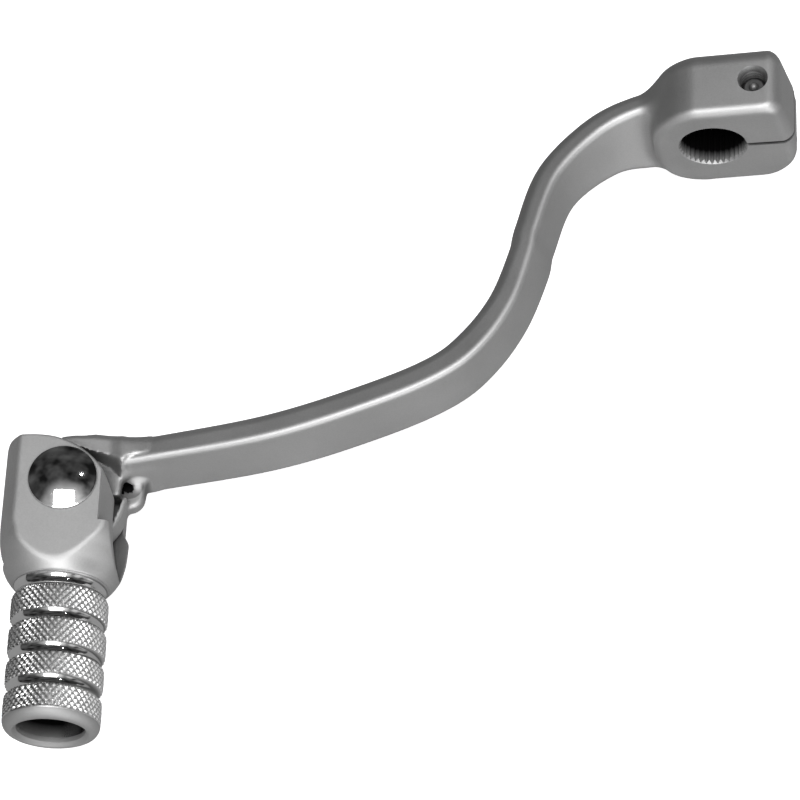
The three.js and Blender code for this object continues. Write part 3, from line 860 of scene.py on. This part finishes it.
def peg_mesh():
    facets = 528
    theta = np.linspace(0, 2 * math.pi, facets, endpoint=False)
    rings = []
    for y, radius, rough in peg_rows():
        radii = np.full(facets, radius)
        if rough:
            radii = np.minimum(knurled(theta, y) + (radius - PEG["radius"]) * 0.5, radii)
        rings.append((radii, y))
    end, bore, bottom = PEG["end"], PEG["bore"], PEG["end"] + PEG["bore_deep"]
    for radius, y in ((bore + 0.75, end + 0.02), (bore + 0.55, end + 0.1), (bore, end + 0.75),
                      (bore, end + 1.2), (bore, bottom - 3), (bore - 0.4, bottom - 2.7)):
        rings.append((np.full(facets, radius), y))
    points = [(peg_shift(rings[0][1]), rings[0][1] + 0.3, 0)]
    for radii, y in rings:
        points += list(zip(radii * np.cos(theta) + peg_shift(y), np.full(facets, y), radii * np.sin(theta)))
    points.append((peg_shift(bottom), bottom, 0))
    k = np.arange(facets)
    j = (k + 1) % facets
    faces = [[0, 1 + b, 1 + a] for a, b in zip(k, j)]
    for row in range(len(rings) - 1):
        a, b = 1 + row * facets, 1 + (row + 1) * facets
        faces += np.stack([a + k, a + j, b + j, b + k], 1).tolist()
    last = 1 + (len(rings) - 1) * facets
    faces += [[len(points) - 1, last + a, last + b] for a, b in zip(k, j)]
    return np.array(points), faces


def folding_tip():
    low, high = (-13, GROOVES[0][0] - 1, -13), (13, BODY["rear"] + 1, 13)
    tip = net_piece("folding_tip_peg", clevis_field, low, high, 0.22, hinge_to_row)
    cut(tip, "peg", peg_mesh(), hinge_to_row, operation="UNION")
    shank, mouth = PIN["radius"] + GAP / 2, PIN["radius"] + GAP / 2 + 0.6
    low, high = -BODY["flat"], BODY["high"]
    pin_hole = [(0, low - THROUGH), (mouth, low - 0.2), (shank, low + 0.5), (shank, high - 0.5),
                (mouth, high + 0.2), (0, high + THROUGH)]
    cut(tip, "pin_hole", revolve(pin_hole, 64), hinge_to_row)
    angle = CHANNEL["angle"] - 2 * math.pi * SPRING["turns"]
    tang = np.array([math.cos(angle), math.sin(angle), 0]) * SPRING["radius"]
    tang_hole = [(0, 0), (1.0, 0), (1.0, SLOT["half"] + 2.7), (0, SLOT["half"] + 3.2)]
    cut(tip, "tang_hole", revolve(tang_hole, 32), hinge_to_row, tang)
    return ridden(tip, "tip", "satin_tip", SATIN_TIP, "folding_tip")


# ---------------------------------------------------------------- hinge hardware
def hinge_piece(name, made, body, slot, material, node):
    points, faces = made
    return ridden(make_object(name, hinge_to_row(points), faces), body, slot, material, node)


def pivot_pin():
    """Turned pin: chamfered tail, groove for the clip, and a head with a rounded rim and a ball's dome."""
    r, head, seat, bead = PIN["radius"], PIN["head"], BODY["high"] + GAP / 6, 0.22
    top = seat + PIN["rim"]
    groove_top = -BODY["flat"] - WASHER["thick"] - GAP - 0.1
    groove_low = groove_top - CLIP["thick"] - 0.3
    rim, foot, sag = head - bead, top + 0.08, PIN["dome"]
    profile = [(0, -PIN["tail"]), (r - 0.5, -PIN["tail"]), (r, -PIN["tail"] + 0.5),
               (r, groove_low), (PIN["groove"], groove_low), (PIN["groove"], groove_top), (r, groove_top),
               (r, seat), (head - 0.15, seat), (head, seat + 0.12), (head, top - 0.1),
               (head - bead * 0.3, top + 0.02), (rim, foot)]
    ball = (rim * rim + sag * sag) / (2 * sag)
    steps = 28
    for i in range(1, steps):
        across = rim * (1 - i / steps)
        profile.append((across, foot + math.sqrt(ball ** 2 - across ** 2) - (ball - sag)))
    profile.append((0, foot + sag))
    return hinge_piece("pivot_pin_domed", revolve(profile, 128), "tip", "polished_pin", POLISHED, "pivot_pin")


def ring_profile(inner, outer, low, high, chamfer):
    """Section of a ring with bevelled edges, as (radius, z)."""
    c = chamfer
    return [(inner, low + c), (inner + c, low), (outer - c, low), (outer, low + c),
            (outer, high - c), (outer - c, high), (inner + c, high), (inner, high - c)]


def ring_mesh(profile, facets, start=0.0, stop=2 * math.pi):
    """A section swept round Z, closed on itself or capped at both ends."""
    whole = abs(stop - start - 2 * math.pi) < 1e-6
    angles = np.linspace(start, stop, facets, endpoint=not whole)
    n = len(profile)
    points = [(r * math.cos(a), r * math.sin(a), z) for a in angles for r, z in profile]
    faces = []
    for k in range(len(angles) - (0 if whole else 1)):
        a, b = k * n, ((k + 1) % len(angles)) * n
        faces += [[a + i, b + i, b + (i + 1) % n, a + (i + 1) % n][::-1] for i in range(n)]
    if not whole:
        faces += [list(range(n)), [len(points) - n + i for i in range(n)][::-1]]
    return np.array(points), faces


def rings():
    """The washer and the retaining clip on the pin's tail, and the bush in the tongue."""
    under = -BODY["flat"] - WASHER["thick"]
    low = under - 0.2
    washer = ring_profile(PIN["radius"] + 0.2, WASHER["radius"], low, low + WASHER["thick"], 0.15)
    high = under - GAP - 0.25
    clip = ring_profile(PIN["groove"] + 0.15, CLIP["outer"], high - CLIP["thick"], high, 0.12)
    mouth = math.asin(CLIP["mouth"] / CLIP["middle"])
    bush = ring_profile(BUSH["inner"], BUSH["outer"], -BUSH["half"], BUSH["half"], 0.3)
    hinge_piece("pin_washer_flat", ring_mesh(washer, 96), "tip", "washer_steel", WASHER_STEEL, "pin_washer")
    open_ring = ring_mesh(clip, 80, -math.pi / 2 + mouth, 1.5 * math.pi - mouth)
    hinge_piece("pin_clip_ring", open_ring, "tip", "clip_steel", CLIP_STEEL, "pin_clip")
    hinge_piece("pivot_bush_plain", ring_mesh(bush, 96), "lever", "bush_bronze", BRONZE, "pivot_bush")


def spring_line():
    """Centre line of the torsion spring: leg, coil and tang, with rounded bends."""
    start, s = CHANNEL["angle"], SPRING
    line = [(reach * math.cos(start), reach * math.sin(start), s["low"])
            for reach in np.linspace(s["leg"], s["radius"] + 0.9, 8)]
    count = 180
    for i in range(6, count + 1):
        k = i / count
        a = start - k * s["turns"] * 2 * math.pi
        z = s["low"] + (s["high"] - s["low"]) * k
        line.append((s["radius"] * math.cos(a), s["radius"] * math.sin(a), z))
    end = np.array(line[-1])
    line += [tuple(end + [0, 0, rise]) for rise in np.linspace(0.7, s["tang"] - s["high"], 7)]
    return np.array(line)


def tube(line, radius, sides=20):
    """A round wire along a line, its ends slightly rounded off."""
    ahead = np.gradient(line, axis=0)
    ahead /= np.linalg.norm(ahead, axis=1)[:, None]
    side = np.cross(ahead[0], (0, 0, 1))
    points, rings = [], []
    for i, (p, t) in enumerate(zip(line, ahead)):
        side = side - t * (side @ t)
        side /= np.linalg.norm(side)
        other = np.cross(t, side)
        r = radius * (0.7 if i in (0, len(line) - 1) else 1.0)
        rings.append(list(range(len(points), len(points) + sides)))
        for a in np.linspace(0, 2 * math.pi, sides, endpoint=False):
            points.append(p + r * (math.cos(a) * side + math.sin(a) * other))
    faces = [rings[0][::-1], rings[-1]]
    for a, b in zip(rings, rings[1:]):
        faces += [[a[k], a[(k + 1) % sides], b[(k + 1) % sides], b[k]] for k in range(sides)]
    return np.array(points), faces


def return_spring():
    wire = tube(spring_line(), SPRING["wire"])
    return hinge_piece("return_spring_wire", wire, "lever", "spring_steel", SPRING_STEEL, "return_spring")


# ---------------------------------------------------------------- pinch bolt
def pinch_bolt():
    """Flange bolt put in from below: threaded shank, flange, and a hexagon with a dished, bevelled end."""
    place = (BOLT["x"], BOLT["y"], 0)
    seat = SPOT_FACE["z"] - GAP / 2
    under, end = seat - BOLT["flange_high"], boss_top(BOLT["x"]) - TAPPED["deep"] + 1.0
    flange, shank, radius = BOLT["flange"], BOLT["shank"] - 0.05, TAPPED["radius"]
    profile = [(0, under), (flange - 1.6, under), (flange - 0.3, under + 0.55), (flange, under + 0.8),
               (flange, seat - 0.15), (flange - 0.15, seat), (shank, seat), (shank, THREAD["bolt_from"])]
    turn = [(-0.45, 0.2), (-0.45, 0.3), (-0.02, 0.65), (-0.02, 0.75)]
    profile += thread_rows(THREAD["bolt_from"], end, turn)
    profile += [(radius - 0.15, end - 0.5), (radius - 0.75, end), (1.0, end), (0.7, end - 0.35),
                (0, end - 0.6)]
    points, faces = revolve(profile, 72)
    bolt = make_object("pinch_bolt_flanged", boss_to_row(points + np.array(place)), faces)
    outer = BOLT["hex"] / math.cos(math.pi / 6)
    low, high, wide = under - BOLT["hex_high"], under + 0.4, outer + 0.2
    points, faces = prism(arc(outer, 0, 2 * math.pi * 5 / 6, 6), low, under + 0.2)
    head = make_object("head", boss_to_row(points + np.array(place)), faces)
    crown = [(0, low - 0.1), (BOLT["hex"] - 0.2, low - 0.1), (wide, low + 0.75), (wide, high), (0, high)]
    cut(head, "crown", revolve(crown, 72), boss_to_row, place, "INTERSECT")
    dish = [(0, low - 1), (2.6, low - 1), (2.3, low + 0.25), (0, low + 0.25)]
    cut(head, "dish", revolve(dish, 48), boss_to_row, place)
    take(bolt, head, "UNION")
    return ridden(bolt, "lever", "bolt_steel", BOLT_STEEL, "pinch_bolt")


for build in (lever_arm, folding_tip, pivot_pin, rings, return_spring, pinch_bolt):
    build()


# ---------------------------------------------------------------- stage, light and camera
EYE_FROM_BORE = np.array([-34.18, -340.44, 547.26])
LOOK = dict(azimuth=math.radians(-4.69), elevation=math.radians(63.0), roll=math.radians(-2.9), lens=152.2)


def camera_axes():
    a, e, r = LOOK["azimuth"], LOOK["elevation"], LOOK["roll"]
    forward = Vector((math.sin(a) * math.cos(e), math.cos(a) * math.cos(e), -math.sin(e)))
    right = forward.cross(Vector((0, 0, 1))).normalized()
    up = right.cross(forward)
    right = right * math.cos(r) + up * math.sin(r)
    return right, right.cross(forward), forward


def aim(obj, eye, right, up, forward):
    obj.matrix_world = Matrix.Translation(eye) @ Matrix((right, up, -forward)).transposed().to_4x4()


def camera():
    data = bpy.data.cameras.new("camera")
    data.lens = LOOK["lens"]
    data.sensor_width = 36
    data.clip_start, data.clip_end = 0.01, 20
    made = bpy.data.objects.new("camera", data)
    bpy.context.scene.collection.objects.link(made)
    aim(made, Vector((EYE_FROM_BORE + BORE) * MM), *camera_axes())
    bpy.context.scene.camera = made


def soft_light(name, direction, distance, size, power, middle=Vector((-0.06, -0.045, 0.0))):
    data = bpy.data.lights.new(name, "AREA")
    data.shape = "RECTANGLE"
    data.size, data.size_y = size
    data.energy = power
    made = bpy.data.objects.new(name, data)
    bpy.context.scene.collection.objects.link(made)
    d = Vector(direction).normalized()
    right = Vector((1, 0, 0)) if abs(d.x) < 0.9 else Vector((0, 1, 0))
    up = d.cross(right).normalized()
    aim(made, middle + d * distance, up.cross(d).normalized(), up, -d)
    return made


FLOOR_GLOW = (0.10, 0.75)  # how bright the paper is to reflections and to the camera


def floor():
    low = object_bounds()[0].z
    n, side = 24, 3.0
    grid = np.linspace(-side, side, n)
    points = [(x, y, low - 0.0005) for y in grid for x in grid]
    corners = [j * n + i for j in range(n - 1) for i in range(n - 1)]
    faces = [[k, k + 1, k + n + 1, k + n] for k in corners]
    made = make_object("floor", points, faces)
    look = Look("floor")
    paper = look.noise(40, 3)
    seen = look.nodes.new("ShaderNodeLightPath").outputs["Is Camera Ray"]
    look.set(look.shader.inputs["Emission Strength"], look.mix(seen, FLOOR_GLOW[0], FLOOR_GLOW[1]))
    look.set(look.shader.inputs["Emission Color"], look.grey(look.span(paper, 0.99, 1.0)))
    shade = look.mix(seen, 0.15, look.span(paper, 0.9, 0.92))
    made.data.materials.append(look.done(shade, 0.9, look.bump(paper, 0.01, 0.1), metallic=0.0))
    made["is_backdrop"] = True


KEY_FROM = (-0.06, -0.30, 0.95)


def world():
    """Dim studio: dark behind the object, unevenly paler towards the viewer, a halo round the key light."""
    made = bpy.data.worlds.new("studio")
    bpy.context.scene.world = made
    made.use_nodes = True
    sky = Nodes(made.node_tree, "Generated")
    pale = sky.span(sky.dot(sky.place, (0.35, -0.93, 0.1)), 0.05, 0.5, 0.0, 0.9)
    patches = sky.span(sky.add("TexNoise", Vector=sky.place, Scale=2.6).outputs["Fac"], 0.2, 1.8, 0.35, 0.65)
    halo = sky.span(sky.dot(sky.place, Vector(KEY_FROM).normalized()), 0.0, 0.4, 0.80, 0.99, "SMOOTHSTEP")
    sky.set(sky.nodes["Background"].inputs[0], sky.math("ADD", sky.times(pale, patches), halo))


camera()
floor()
world()
soft_light("key", KEY_FROM, 1.3, (0.75, 0.6), 13.5)
soft_light("front", (0.35, -0.9, 0.35), 1.3, (1.2, 0.5), 7.0)
soft_light("lamp", (0.33, 0.42, 0.84), 1.3, (0.05, 0.05), 0.6)
bpy.context.scene.view_settings.view_transform = "Standard"

bpy.context.view_layer.update()
